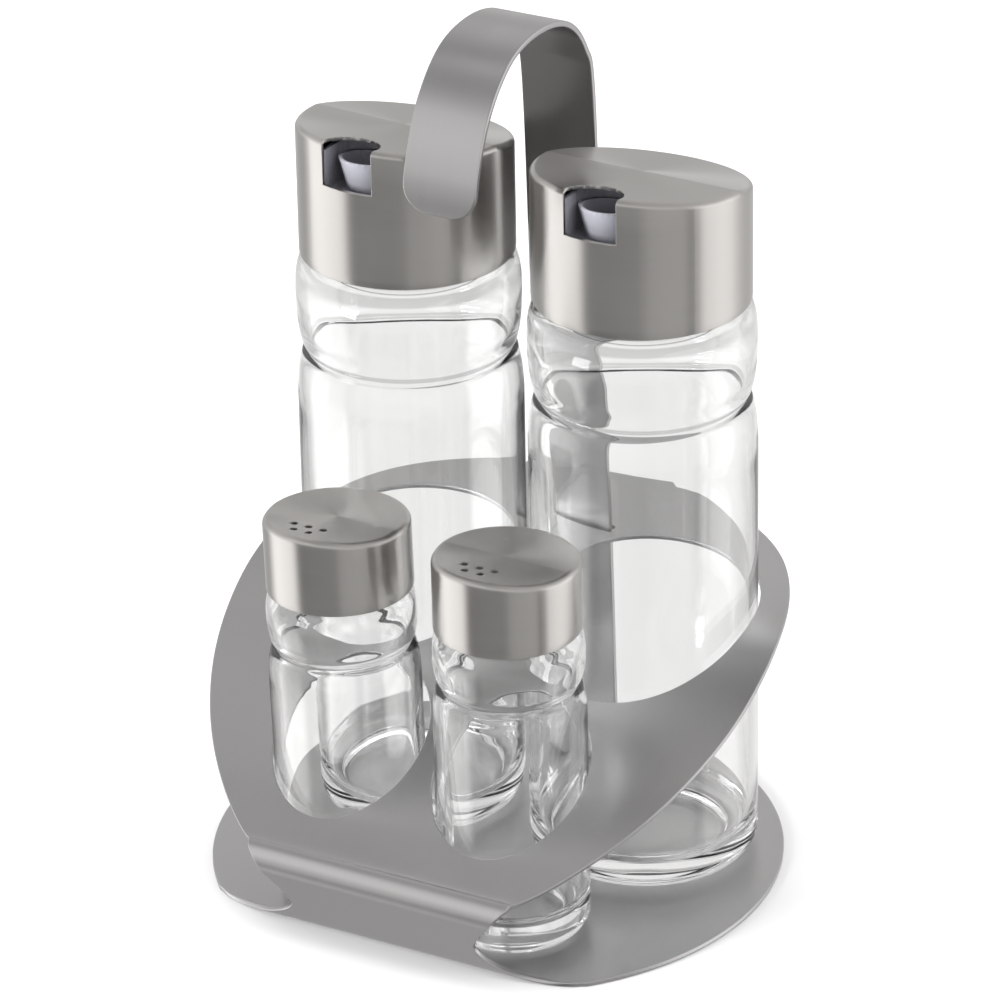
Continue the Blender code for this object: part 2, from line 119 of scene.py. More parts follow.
SHAKER_GLASS = [(0.0, 7.2), (6.0, 7.3), (11.0, 7.7), (14.0, 8.8), (15.6, 11.4), (15.9, 15.0),
                (16.0, 35.0), (16.3, 54.0), (16.3, 59.4), (15.9, 63.0), (15.35, 65.4),
                (15.15, 66.7), (15.35, 68.2), (15.9, 70.6), (16.2, 74.0), (15.6, 77.4),
                (13.4, 80.7), (12.4, 83.2), (12.3, 90.3), (12.7, 91.2), (13.5, 91.3),
                (14.2, 91.2), (14.6, 90.2), (14.6, 86.5), (14.6, 83.0), (14.9, 81.6),
                (16.0, 80.4), (17.3, 78.4), (17.8, 75.0), (17.7, 71.4), (17.35, 69.2),
                (17.0, 68.0), (16.45, 67.2), (16.25, 66.6), (16.45, 66.0), (17.0, 65.2),
                (17.35, 64.0), (17.75, 61.8), (18.0, 57.6), (18.0, 45.0), (18.0, 20.0),
                (18.0, 7.4), (17.7, 4.6), (16.6, 2.5), (14.9, 1.6), (13.4, 1.5), (12.3, 1.9),
                (9.0, 2.4), (0.0, 2.5)]

# steel caps
SHELL_T = 0.8
CAP_EDGE_R = 1.5
CAP_BEAD_R = 0.25
# a cup is turned with its top at height 0 and its lower edge at this height, then shaped
CUP_LOW = -100.0
# rings on the cup's top and under it, as shares of the radius
CUP_TOP_RINGS = [0.0, 0.12, 0.25, 0.38, 0.5, 0.62, 0.74, 0.84, 0.91]
CUP_UNDER_RINGS = (0.8, 0.6, 0.4, 0.2, 0.0)
# cuts across the top: near the crease in millimetres, and how many parts of the front half
CREASE_CUTS = [-0.75, -0.4, -0.15, 0.15, 0.4, 0.75]
FRONT_PARTS = 9
CREASE_R = 0.7
CRUET_CAP_TOP = {"front": 34.7, "crease": 30.9, "rear": 24.6, "scoop": 0.5}
SHAKER_CAP_TOP = {"front": 19.5, "crease": 17.5, "rear": 16.6, "scoop": 0.6}
SHAKER_DRILL_R = 0.9
SHAKER_DRILLS = [(-6.4, -8.2), (-2.4, -8.2), (1.6, -8.2), (-4.4, -11.4), (-0.4, -11.4)]
SHAKER_DRILL_Z = (14.0, 28.0)
SHAKER_DRILL_EASE = 0.3
# heights of extra rings of faces on a cap's side
CAP_RINGS = [2.0, 5.0, 8.0, 11.0, 14.0, 17.0, 20.0, 22.9, 23.2, 24.0, 26.0]
WINDOW_HALF = 6.7
WINDOW_Y = -22.4
WINDOW_ARCH = 7.0
WINDOW_FLOOR = 23.4
WINDOW_REACH = 7.0
WINDOW_TOP = 45.0
WINDOW_EASE = 0.14

# pourer: its seat is this far above the cap's lower edge, and its skirt's end this far
SEAT = 18.2
SKIRT_END = 2.0
FLANGE_T = 2.6
# its turned part as (radius, height): heights from the seat, but the skirt's from the cap's edge
POURER_FLANGE = [(0.0, FLANGE_T), (15.0, FLANGE_T), (23.9, 2.25), (24.3, 1.9)]
POURER_SKIRT = [(24.2, 2.2), (24.0, 2.0), (21.3, 2.0), (21.1, 2.2)]
POURER_PLUG = [(21.1, 0.0), (17.9, 0.0), (17.8, -3.0), (17.4, -6.2), (16.8, -7.0), (15.4, -7.0),
               (15.2, -6.7), (15.2, 0.0), (0.0, 0.0)]
POURER_EASE = 0.2
# spout: its middle and outer radius at its foot and at its lip, then its cup
SPOUT_Y = (-13.4, -15.4)
SPOUT_R = (6.4, 7.0)
SPOUT_WALL = 1.0
SPOUT_TOP = 28.2
SPOUT_RISE = 1.1
SPOUT_SINK = 1.0
SPOUT_DISH = 0.4
SPOUT_PARTS = 8
POUR_R = 3.3
POUR_Y = -11.4
DRIP_R = 8.0
DRIP_WALL = 1.2
DRIP_END_Y = -22.3
DRIP_TOP = 30.6
# the wall's arc in degrees: where it starts, one step, and how many points it has
DRIP_START = -8.0
DRIP_STEP = 4.9
DRIP_POINTS = 41
# cutters reach this far past the face they go through, and the spout's core past its lip
CUTTER_REACH = 2.0
SPOUT_REACH = 1.0
VENT_R = 1.5
VENT_Y = 11.0

# collar's top thickness, and each seal's inner radius and the ease of its corners
COLLAR_TOP_T = 1.5
CRUET_SEAL = (18.5, 0.25)
SHAKER_SEAL = (12.4, 0.3)

# how each vessel stands: its turn in degrees, which way it leans in plan, its lean in degrees and
# the radius of its foot
STANCE = {"cruet_left": (-3.4, (0.87, 0.49), 0.3, 23.2),
          "cruet_right": (-0.6, (0.87, 0.49), 0.3, 23.2),
          "shaker_left": (-2.0, (-0.87, -0.49), 0.95, 14.9),
          "shaker_right": (-1.0, (0.49, -0.87), 0.95, 14.9)}

# materials: how tight each noise is, how far it moves colour or roughness, and the strength and
# distance in metres of each skin's ripple
EVEN = (1.0, 1.0, 1.0)
# the part of a noise's range that is used
GRAIN_SPAN = (0.25, 0.75)
NOISE_SPAN = (0.3, 0.7)
# radius in metres at which the grain round a cap has its true scale
UNROLL_R = 0.02
STEEL_FINE = 2600.0
STEEL_STREAK = 700.0
STEEL_SMEAR = 22.0
FINE_SHARE = 0.55
STREAK_SHARE = 0.45
GRAIN_LEVEL = 0.04
GRAIN_ROUGH = 0.015
SMEAR_LEVEL = 0.02
STEEL_DARK = 0.72
STEEL_LIGHT = 1.28
STEEL_BUMP = (0.015, 0.00001)
GLASS_WAVE = 60.0
GLASS_STRETCH = (1.0, 1.0, 0.45)
GLASS_BUMP = (0.1, 0.0003)
GLASS_IOR = 1.5
GLASS_SHADE = (0.93, 0.94, 0.935)
MOULDED_DRIFT = 90.0
MOULDED_DARK = 0.9
MOULDED_LIGHT = 1.1
MOULDED_ROUGH = 0.06
MOULDED_BUMP = (0.05, 0.00002)
FLOOR_CLOUD = 3.0

# camera: its place in the drawing, its three turns in degrees and its lens
CAMERA_AT = (616.2, -1087.4, 723.4)
CAMERA_YAW = 29.384
CAMERA_PITCH = 26.716
CAMERA_ROLL = -1.421
CAMERA_LENS = 215.086
SENSOR_WIDTH = 36.0

# lamps: name, place in metres, size in metres and power in watts, all aimed at one height
LAMPS = (("key", (-0.85, -1.2, 0.5), 0.5, 26.0),
         ("fill", (1.2, -0.2, 1.3), 1.2, 6.0),
         ("top", (0.0, 0.4, 1.9), 1.6, 22.0))
LAMP_AIM = 0.05
FLOOR_HALF = 4.0
FLOOR_DROP = -0.0001
FLOOR_COLOURS = ((0.90, 0.90, 0.905), (0.93, 0.93, 0.93))
STUDIO_COLOUR = (1.0, 0.995, 0.985)
# a colour ramp holds 0 to 1, so it holds a panel's brightness divided by this
BRIGHTEST = 4.0

# the studio's rings of panels, from the floor up: the two heights (as sines) between which each
# takes over from the one below it, and its stops of degrees right of the camera and brightness
RINGS = [(-1.0, -1.0, [(-180, 0.6), (180, 0.6)]),
         (-0.76, -0.6, [(-180, 0.96), (-166, 0.92), (-152, 0.62), (-136, 0.5), (-125, 0.7),
                        (-118, 2.2), (-72, 2.0), (-63, 0.04), (-4, 0.06), (5, 0.4), (45, 0.6),
                        (51, 0.12), (58, 0.18), (65, 1.4), (90, 1.7), (106, 1.5), (115, 0.95),
                        (140, 0.7), (160, 0.85), (180, 0.96)]),
         (-0.34, -0.24, [(-180, 0.66), (-150, 0.6), (-125, 0.8), (-115, 2.0), (-76, 1.5),
                         (-64, 0.65), (-10, 0.7), (20, 0.8), (50, 0.6), (64, 1.6), (104, 1.8),
                         (120, 0.9), (150, 0.6), (180, 0.66)]),
         (-0.1, 0.02, [(-180, 0.92), (-150, 0.8), (-118, 1.4), (-64, 0.9), (0, 1.0), (50, 0.9),
                       (66, 1.8), (104, 1.9), (125, 0.9), (180, 0.92)]),
         (0.1, 0.22, [(-180, 0.56), (-140, 0.7), (-118, 1.3), (-64, 1.25), (0, 1.1), (50, 0.9),
                      (70, 1.7), (105, 1.7), (125, 0.8), (180, 0.56)]),
         (0.3, 0.4, [(-180, 0.86), (-120, 0.8), (-76, 1.15), (-44, 1.15), (-20, 0.8), (60, 0.8),
                     (180, 0.86)]),
         (0.62, 0.8, [(-180, 0.66), (-165, 0.6), (-145, 0.5), (-125, 0.6), (-109, 1.05),
                      (-95, 0.62), (-80, 0.34), (-50, 0.42), (60, 0.7), (180, 0.66)])]


# ---------------------------------------------------------------- frame and small helpers

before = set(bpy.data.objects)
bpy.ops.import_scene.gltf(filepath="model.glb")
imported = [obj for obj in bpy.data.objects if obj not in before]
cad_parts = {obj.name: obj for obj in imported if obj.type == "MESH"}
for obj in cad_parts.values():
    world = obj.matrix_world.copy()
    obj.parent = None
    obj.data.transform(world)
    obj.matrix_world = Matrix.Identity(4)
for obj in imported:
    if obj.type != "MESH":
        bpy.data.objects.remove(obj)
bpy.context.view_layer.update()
cruet_low, cruet_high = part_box("cruet_bottle_left")
ORIGIN_Y = (cruet_low.y + cruet_high.y) / 2 - CRUET_Y * MM


def place(x, y, z=0.0):
    """A point of the drawing, in the frame's metres."""
    return Vector((x * MM, y * MM + ORIGIN_Y, z * MM))


def middle(node):
    """Plan middle of a CAD node, as a point on the table."""
    low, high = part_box(node)
    return Vector(((low.x + high.x) / 2, (low.y + high.y) / 2, 0.0))


def add_object(name, data, mat, where=(0.0, 0.0, 0.0)):
    """A named object in the scene."""
    item = bpy.data.objects.new(name, data)
    item.location = where
    bpy.context.scene.collection.objects.link(item)
    if mat is not None:
        data.materials.append(mat)
    return item


def from_bmesh(name, work, mat, where=(0.0, 0.0, 0.0), sharp=SHARP_PLAIN):
    """Turn a bmesh into a smooth-shaded object."""
    bmesh.ops.recalc_face_normals(work, faces=work.faces)
    data = bpy.data.meshes.new(name)
    work.to_mesh(data)
    work.free()
    item = add_object(name, data, mat, where)
    data.shade_smooth()
    data.set_sharp_from_angle(angle=math.radians(sharp))
    return item


def mount(item, body, slot, *nodes):
    """The piece rides on a body and stands for CAD nodes. Its slot argument is not used."""
    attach(item, body)
    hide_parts(*nodes)


def settle(item, vessel):
    """Turn and lean a piece the way its vessel stands in its hole."""
    turn, towards, lean, foot = STANCE[vessel]
    tilt = math.radians(lean)
    axis = Vector((-towards[1], towards[0], 0.0))
    lift = Matrix.Translation((0.0, 0.0, foot * math.sin(tilt) * MM))
    spin = Matrix.Rotation(math.radians(turn), 4, "Z")
    item.data.transform(lift @ Matrix.Rotation(tilt, 4, axis) @ spin)


def at(points, x):
    """Straight-line lookup in a list of (x, y) pairs."""
    for (x0, y0), (x1, y1) in zip(points, points[1:]):
        if x <= x1:
            return y0 + (y1 - y0) * max(0.0, x - x0) / (x1 - x0)
    return points[-1][1]


def through(points, steps):
    """Smooth curve through the points (Catmull-Rom), with this many steps between neighbours."""
    out = []
    last = len(points) - 1
    for i in range(last):
        p0, p1, p2, p3 = (Vector(points[min(max(i + k, 0), last)]) for k in (-1, 0, 1, 2))
        for k in range(steps):
            t = k / steps
            square = (2 * p0 - 5 * p1 + 4 * p2 - p3) * t ** 2
            cube = (3 * p1 - p0 - 3 * p2 + p3) * t ** 3
            out.append(0.5 * (2 * p1 + (p2 - p0) * t + square + cube))
    out.append(Vector(points[-1]))
    return out


def fillet(before, corner, after, radius, steps):
    """Points of the arc that rounds a corner between two straight runs."""
    tip = Vector(corner)
    u = (Vector(before) - tip).normalized()
    v = (Vector(after) - tip).normalized()
    half = math.acos(u.dot(v)) / 2
    centre = tip + (u + v).normalized() * (radius / math.sin(half))
    start = tip + u * (radius / math.tan(half)) - centre
    sweep = start.angle_signed(tip + v * (radius / math.tan(half)) - centre)
    return [centre + Matrix.Rotation(-sweep * k / steps, 2) @ start for k in range(steps + 1)]


def circle(radius, count, x=0.0, y=0.0):
    """Plan points of a circle."""
    turns = [2 * math.pi * i / count for i in range(count)]
    return [(x + radius * math.cos(a), y + radius * math.sin(a)) for a in turns]


def quarter_turn(start, steps):
    """Angles in radians over a quarter turn that starts at this many degrees."""
    return [math.radians(start + 90.0 * k / steps) for k in range(steps + 1)]


# ---------------------------------------------------------------- shape makers

def slice_at(work, point, direction):
    """Cut a mesh's faces along a plane, without parting the mesh."""
    geometry = work.verts[:] + work.edges[:] + work.faces[:]
    bmesh.ops.bisect_plane(work, geom=geometry, dist=CUT_GAP, plane_co=point, plane_no=direction)


def flat_blank(name, loops, thick, edge):
    """Flat sheet with eased edges, filled between its outside outline and those of its holes."""
    curve = bpy.data.curves.new(name, "CURVE")
    curve.dimensions = "2D"
    curve.fill_mode = "BOTH"
    curve.extrude = (thick / 2 - edge) * MM
    curve.bevel_depth = edge * MM
    curve.bevel_resolution = 2
    curve.offset = -edge * MM
    for loop in loops:
        spline = curve.splines.new("POLY")
        spline.points.add(len(loop) - 1)
        for point, (x, s) in zip(spline.points, loop):
            point.co = (x * MM, s * MM, 0.0, 1.0)
        spline.use_cyclic_u = True
    drawing = bpy.data.objects.new(name + "_drawing", curve)
    bpy.context.scene.collection.objects.link(drawing)
    bpy.context.view_layer.update()
    graph = bpy.context.evaluated_depsgraph_get()
    data = bpy.data.meshes.new_from_object(drawing.evaluated_get(graph))
    work = bmesh.new()
    work.from_mesh(data)
    bmesh.ops.remove_doubles(work, verts=work.verts, dist=MERGE_GAP)
    bpy.data.objects.remove(drawing)
    bpy.data.curves.remove(curve)
    bpy.data.meshes.remove(data)
    return work


class SideLine:
    """A bent sheet's middle line in the Y-Z plane, measured along its length in millimetres."""

    def __init__(self, points):
        self.points = [Vector(p) for p in points]
        self.runs = [0.0]
        for a, b in zip(self.points, self.points[1:]):
            self.runs.append(self.runs[-1] + (b - a).length)
        count = len(self.points)
        self.normals = []
        for i in range(count):
            along = self.points[min(i + 1, count - 1)] - self.points[max(i - 1, 0)]
            self.normals.append(Vector((-along.y, along.x)).normalized())

    def frame_at(self, s):
        """Point and sheet normal at a distance along the line."""
        low, high = 0, len(self.runs) - 2
        while low < high:
            i = (low + high + 1) // 2
            if self.runs[i] <= s:
                low = i
            else:
                high = i - 1
        share = (s - self.runs[low]) / (self.runs[low + 1] - self.runs[low])
        point = self.points[low].lerp(self.points[low + 1], share)
        clamped = min(max(share, 0.0), 1.0)
        return point, self.normals[low].lerp(self.normals[low + 1], clamped).normalized()


def bend(name, work, line, mat):
    """Cut a flat blank across at the line's points, then bend it and its shading along it."""
    for s in line.runs[1:-1]:
        slice_at(work, (0.0, s * MM, 0.0), (0.0, 1.0, 0.0))
    item = from_bmesh(name, work, mat, sharp=SHARP_SHEET)
    data = item.data
    level = {}
    for face in data.polygons:
        if abs(face.normal.z) > BROAD_SIDE:
            level.update((index, Vector((0.0, 0.0, math.copysign(1.0, face.normal.z))))
                         for index in face.vertices)
    frames = [line.frame_at(vert.co.y / MM) for vert in data.vertices]
    normals = []
    for loop, corner in zip(data.loops, data.corner_normals):
        flat = level.get(loop.vertex_index, corner.vector)
        up = frames[loop.vertex_index][1]
        normals.append(Vector((flat.x, up.y * flat.y + up.x * flat.z,
                               up.y * flat.z - up.x * flat.y)))
    for vert, (point, up) in zip(data.vertices, frames):
        lift = up * (vert.co.z / MM)
        vert.co = place(vert.co.x / MM, point.x + lift.x, point.y + lift.y)
    data.normals_split_custom_set(normals)
    return item


def turned(profile, steps, ring=False):
    """Spin a (radius, height) profile in millimetres round the upright axis."""
    work = bmesh.new()
    verts = [work.verts.new((r * MM, 0.0, z * MM)) for r, z in profile]
    pairs = list(zip(verts, verts[1:])) + ([(verts[-1], verts[0])] if ring else [])
    edges = [work.edges.new(pair) for pair in pairs]
    bmesh.ops.spin(work, geom=verts + edges, cent=(0, 0, 0), axis=(0, 0, 1), angle=2 * math.pi,
                   steps=steps, use_merge=True)
    bmesh.ops.remove_doubles(work, verts=work.verts, dist=MERGE_GAP)
    return work


def cut_with(item, tools, bevel=0.0):
    """Cut tools from a piece with exact Booleans, ease the new edges and drop the tools."""
    for tool in tools:
        step = item.modifiers.new("cut", "BOOLEAN")
        step.solver = "EXACT"
        step.object = tool
    if bevel:
        ease = item.modifiers.new("ease", "BEVEL")
        ease.width = bevel * MM
        ease.segments = 2
        ease.limit_method = "ANGLE"
        ease.angle_limit = math.radians(EASED_ANGLE)
        ease.use_clamp_overlap = True
        ease.harden_normals = True
    bpy.context.view_layer.update()
    graph = bpy.context.evaluated_depsgraph_get()
    data = bpy.data.meshes.new_from_object(item.evaluated_get(graph))
    item.modifiers.clear()
    item.data = data
    for tool in tools:
        bpy.data.objects.remove(tool)


def post(name, outline, low, high, where):
    """Upright cutter over a plan outline in millimetres."""
    work = bmesh.new()
    rings = []
    for z in (low, high):
        rings.append([work.verts.new((x * MM, y * MM, z * MM)) for x, y in outline])
    work.faces.new(rings[0])
    work.faces.new(rings[1])
    for i in range(len(outline)):
        j = (i + 1) % len(outline)
        work.faces.new((rings[0][i], rings[0][j], rings[1][j], rings[1][i]))
    return from_bmesh(name, work, None, where)


# ---------------------------------------------------------------- materials

def new_material(name):
    """A material with one Principled shader."""
    mat = bpy.data.materials.new(name)
    mat.use_nodes = True
    return mat, mat.node_tree, mat.node_tree.nodes["Principled BSDF"]


def node(tree, kind, **values):
    """A shader node with its properties set."""
    made = tree.nodes.new(kind)
    for key, value in values.items():
        setattr(made, key, value)
    return made


def math_node(tree, operation, a, b=None):
    """A maths node fed by sockets or numbers."""
    made = node(tree, "ShaderNodeMath", operation=operation)
    for socket, value in zip(made.inputs, (a, b)):
        if value is None:
            continue
        if isinstance(value, (int, float)):
            socket.default_value = value
        else:
            tree.links.new(value, socket)
    return made.outputs[0]


def remap(tree, value, low, high, to_low, to_high):
    """Map Range from one interval to another."""
    made = node(tree, "ShaderNodeMapRange")
    tree.links.new(value, made.inputs["Value"])
    for key, number in (("From Min", low), ("From Max", high),
                        ("To Min", to_low), ("To Max", to_high)):
        made.inputs[key].default_value = number
    return made.outputs["Result"]


def stretched_noise(tree, vector, scale, stretch, detail, rough):
    """Noise drawn out along one direction: stretch gives the three axis factors."""
    mapping = node(tree, "ShaderNodeMapping")
    mapping.inputs["Scale"].default_value = stretch
    tree.links.new(vector, mapping.inputs["Vector"])
    noise = node(tree, "ShaderNodeTexNoise")
    noise.inputs["Scale"].default_value = scale
    noise.inputs["Detail"].default_value = detail
    noise.inputs["Roughness"].default_value = rough
    tree.links.new(mapping.outputs[0], noise.inputs["Vector"])
    return noise.outputs["Fac"]


def add_bump(tree, shader, height, strength, distance):
    """Let a height pattern ripple a shader's surface, by a strength and a distance in metres."""
    bump = node(tree, "ShaderNodeBump")
    bump.inputs["Strength"].default_value = strength
    bump.inputs["Distance"].default_value = distance
    tree.links.new(height, bump.inputs["Height"])
    tree.links.new(bump.outputs[0], shader.inputs["Normal"])


def round_coordinates(tree):
    """Coordinates unrolled from a turned piece: along the turn, outwards and up, in metres."""
    coords = node(tree, "ShaderNodeTexCoord").outputs["Object"]
    split = node(tree, "ShaderNodeSeparateXYZ")
    tree.links.new(coords, split.inputs[0])
    x, y, z = split.outputs
    angle = math_node(tree, "ARCTAN2", y, x)
    radius = math_node(tree, "SQRT", math_node(tree, "ADD", math_node(tree, "MULTIPLY", x, x),
                                               math_node(tree, "MULTIPLY", y, y)))
    joined = node(tree, "ShaderNodeCombineXYZ")
    tree.links.new(math_node(tree, "MULTIPLY", angle, UNROLL_R), joined.inputs[0])
    tree.links.new(radius, joined.inputs[1])
    tree.links.new(z, joined.inputs[2])
    return joined.outputs[0]


def brushed_steel(name, colour, stretch, rough, aniso, turn, radial=False):
    """Satin stainless steel: fine grain one way, faint smears and soft highlights along it."""
    mat, tree, shader = new_material(name)
    if radial:
        vector = round_coordinates(tree)
    else:
        vector = node(tree, "ShaderNodeTexCoord").outputs["Object"]
    fine = stretched_noise(tree, vector, STEEL_FINE, stretch, detail=4.0, rough=0.7)
    streak = stretched_noise(tree, vector, STEEL_STREAK, stretch, detail=3.0, rough=0.55)
    cloud = stretched_noise(tree, vector, STEEL_SMEAR, EVEN, detail=3.0, rough=0.5)
    grain = math_node(tree, "ADD", math_node(tree, "MULTIPLY", fine, FINE_SHARE),
                      math_node(tree, "MULTIPLY", streak, STREAK_SHARE))
    level = math_node(tree, "ADD",
                      remap(tree, grain, *GRAIN_SPAN, -GRAIN_LEVEL, GRAIN_LEVEL),
                      remap(tree, cloud, *NOISE_SPAN, -SMEAR_LEVEL, SMEAR_LEVEL))
    tint = node(tree, "ShaderNodeMix", data_type="RGBA", blend_type="MIX")
    tree.links.new(math_node(tree, "ADD", level, 0.5), tint.inputs["Factor"])
    dark = [c * STEEL_DARK for c in colour]
    light = [min(1.0, c * STEEL_LIGHT) for c in colour]
    tint.inputs["A"].default_value = (*dark, 1.0)
    tint.inputs["B"].default_value = (*light, 1.0)
    tree.links.new(tint.outputs["Result"], shader.inputs["Base Color"])
    shader.inputs["Metallic"].default_value = 1.0
    spread = math_node(tree, "ADD",
                       remap(tree, grain, *NOISE_SPAN, rough - GRAIN_ROUGH, rough + GRAIN_ROUGH),
                       remap(tree, cloud, *NOISE_SPAN, -SMEAR_LEVEL, SMEAR_LEVEL))
    tree.links.new(spread, shader.inputs["Roughness"])
    shader.inputs["Anisotropic"].default_value = aniso
    shader.inputs["Anisotropic Rotation"].default_value = turn
    tangent = node(tree, "ShaderNodeTangent", direction_type="RADIAL", axis="Z")
    tree.links.new(tangent.outputs[0], shader.inputs["Tangent"])
    add_bump(tree, shader, grain, *STEEL_BUMP)
    return mat


def clear_glass(name, tint):
    """Pressed glass with slow waves in its skin; lamps shine through it."""
    mat, tree, shader = new_material(name)
    shader.inputs["Base Color"].default_value = (*tint, 1.0)
    shader.inputs["Roughness"].default_value = 0.0
    shader.inputs["IOR"].default_value = GLASS_IOR
    shader.inputs["Transmission Weight"].default_value = 1.0
    coords = node(tree, "ShaderNodeTexCoord").outputs["Object"]
    wave = stretched_noise(tree, coords, GLASS_WAVE, GLASS_STRETCH, detail=2.0, rough=0.45)
    add_bump(tree, shader, wave, *GLASS_BUMP)
    path = node(tree, "ShaderNodeLightPath")
    clear = node(tree, "ShaderNodeBsdfTransparent")
    clear.inputs["Color"].default_value = (*GLASS_SHADE, 1.0)
    mix = node(tree, "ShaderNodeMixShader")
    tree.links.new(path.outputs["Is Shadow Ray"], mix.inputs[0])
    tree.links.new(shader.outputs[0], mix.inputs[1])
    tree.links.new(clear.outputs[0], mix.inputs[2])
    tree.links.new(mix.outputs[0], tree.nodes["Material Output"].inputs["Surface"])
    return mat


def moulded(name, colour, rough, grain, soft=0.0):
    """Moulded plastic or silicone: even colour with a slow drift and a fine skin."""
    mat, tree, shader = new_material(name)
    coords = node(tree, "ShaderNodeTexCoord").outputs["Object"]
    drift = stretched_noise(tree, coords, MOULDED_DRIFT, EVEN, detail=2.0, rough=0.5)
    skin = stretched_noise(tree, coords, grain, EVEN, detail=3.0, rough=0.6)
    tint = node(tree, "ShaderNodeMix", data_type="RGBA", blend_type="MIX")
    tree.links.new(drift, tint.inputs["Factor"])
    tint.inputs["A"].default_value = (*[c * MOULDED_DARK for c in colour], 1.0)
    tint.inputs["B"].default_value = (*[min(1.0, c * MOULDED_LIGHT) for c in colour], 1.0)
    tree.links.new(tint.outputs["Result"], shader.inputs["Base Color"])
    spread = remap(tree, skin, *NOISE_SPAN, rough - MOULDED_ROUGH, rough + MOULDED_ROUGH)
    tree.links.new(spread, shader.inputs["Roughness"])
    shader.inputs["Transmission Weight"].default_value = soft
    add_bump(tree, shader, skin, *MOULDED_BUMP)
    return mat


# ---------------------------------------------------------------- the stand

def stand_line():
    """Side line of the sheet, from the base's rear round the folds to the rack's rear."""
    base_end = (BASE_Y + BASE_R * math.sin(math.radians(BASE_END)), SHEET_T / 2)
    low = fillet(base_end, LOW_FOLD, TOP_FOLD, LOW_FOLD_R, steps=12)
    top = fillet(LOW_FOLD, TOP_FOLD, RACK_LINE[0], TOP_FOLD_R, steps=16)
    rack = through([tuple(top[-1])] + RACK_LINE, steps=8)[1:]
    start = Vector((BASE_Y + BASE_R, SHEET_T / 2))
    return SideLine([start, Vector(base_end)] + low + top + rack), len(low) + len(top) + 1


def stand_outline(line, rack_start):
    """Outline of the flat blank: half widths along its length, mirrored."""
    side = []
    base_run = BASE_R * (1.0 - math.sin(math.radians(BASE_END)))
    for k in range(1, BASE_STEPS + 1):
        a = math.radians(90.0 - (90.0 - BASE_END) * k / BASE_STEPS)
        side.append((BASE_R * math.cos(a), BASE_R * (1.0 - math.sin(a))))
    low_start = line.runs[2]
    waist = [(low_start + p.x, p.y) for p in through(WAIST, steps=8)]
    rack_run = line.runs[rack_start]
    side += [(half, run) for run, half in waist
             if base_run + WAIST_FROM_BASE < run < rack_run - WAIST_FROM_RACK]
    start = math.asin((line.points[rack_start].x - RACK_Y) / RACK_R)
    for k in range(RACK_STEPS + 1):
        a = start * (1 - k / RACK_STEPS) + math.pi / 2 * k / RACK_STEPS
        y = RACK_Y + RACK_R * math.sin(a)
        if y < RACK_Y + RACK_R - RACK_TIP_GAP:
            side.append((RACK_R * math.cos(a), rack_run_at(line, rack_start, y)))
    end = line.runs[-1]
    mirrored = [(-x, s) for x, s in reversed(side)]
    return [(0.0, 0.0)] + side + [(0.0, end)] + mirrored


def rack_run_at(line, rack_start, y):
    """Distance along the sheet where the rack passes a plan Y."""
    pairs = [(p.x, run) for p, run in zip(line.points[rack_start:], line.runs[rack_start:])]
    return at(pairs, y)


def make_stand(mat):
    """The folded sheet with four holes and the strap's slot."""
    line, rack_start = stand_line()
    loops = [stand_outline(line, rack_start)]
    for node_name, radius in (("cruet_bottle_left", CRUET_HOLE_R),
                              ("cruet_bottle_right", CRUET_HOLE_R),
                              ("shaker_jar_left", SHAKER_HOLE_R),
                              ("shaker_jar_right", SHAKER_HOLE_R)):
        spot = middle(node_name)
        ring = circle(radius, RACK_HOLE_STEPS, spot.x / MM, (spot.y - ORIGIN_Y) / MM)
        loops.append([(x, rack_run_at(line, rack_start, y)) for x, y in ring])
    leg_y = at([(z, y) for y, z in STRAP_LINE[:4]], SLOT_HEIGHT)
    reach = STRAP_HALF + STRAP_SLOT_GAP
    deep = STRAP_T / 2 + SLOT_DEEPER * STRAP_SLOT_GAP
    slot = []
    for cx, cy, start in ((1, 1, 0.0), (-1, 1, 90.0), (-1, -1, 180.0), (1, -1, 270.0)):
        for a in quarter_turn(start, 4):
            slot.append((cx * (reach - SLOT_CORNER_R) + SLOT_CORNER_R * math.cos(a),
                         leg_y + cy * (deep - SLOT_CORNER_R) + SLOT_CORNER_R * math.sin(a)))
    loops.append([(x, rack_run_at(line, rack_start, y)) for x, y in slot])
    work = flat_blank("stand_blank", loops, SHEET_T, SHEET_EDGE)
    item = bend("folded_stand", work, line, mat)
    mount(item, "stand", "stand_steel", "stand_sheet")


def make_strap(mat):
    """The strap: foot on the base, leg through the slot, arch and rounded free tip."""
    heel = fillet(STRAP_FOOT, STRAP_HEEL, STRAP_LINE[1], STRAP_HEEL_R, steps=10)
    rest = through([tuple(heel[-1])] + STRAP_LINE[1:], steps=10)[1:]
    line = SideLine([Vector(STRAP_FOOT)] + heel + rest)
    length = line.runs[-1]
    side = [(STRAP_HALF - FOOT_CORNER, 0.0), (STRAP_HALF - FOOT_CORNER_IN, FOOT_CORNER_IN),
            (STRAP_HALF, FOOT_CORNER)]
    for a in quarter_turn(0.0, 16):
        side.append((STRAP_HALF - STRAP_TIP_R * (1 - math.cos(a)),
                     length - STRAP_TIP_R * (1 - math.sin(a))))
    outline = side + [(-x, s) for x, s in reversed(side)]
    work = flat_blank("strap_blank", [outline], STRAP_T, STRAP_EDGE)
    item = bend("carry_strap", work, line, mat)
    mount(item, "stand", "strap_steel", "handle_strap")


# ---------------------------------------------------------------- glass, caps and inserts

def make_vessel(name, body, node_name, glass, mat):
    """A glass vessel turned from a smooth profile."""
    profile = [(max(0.0, p.x), p.y) for p in through(glass, steps=5)]
    item = from_bmesh(name, turned(profile, VESSEL_STEPS), mat, middle(node_name),
                      sharp=SHARP_ROUND)
    settle(item, body)
    mount(item, body, "bottle_glass", node_name)


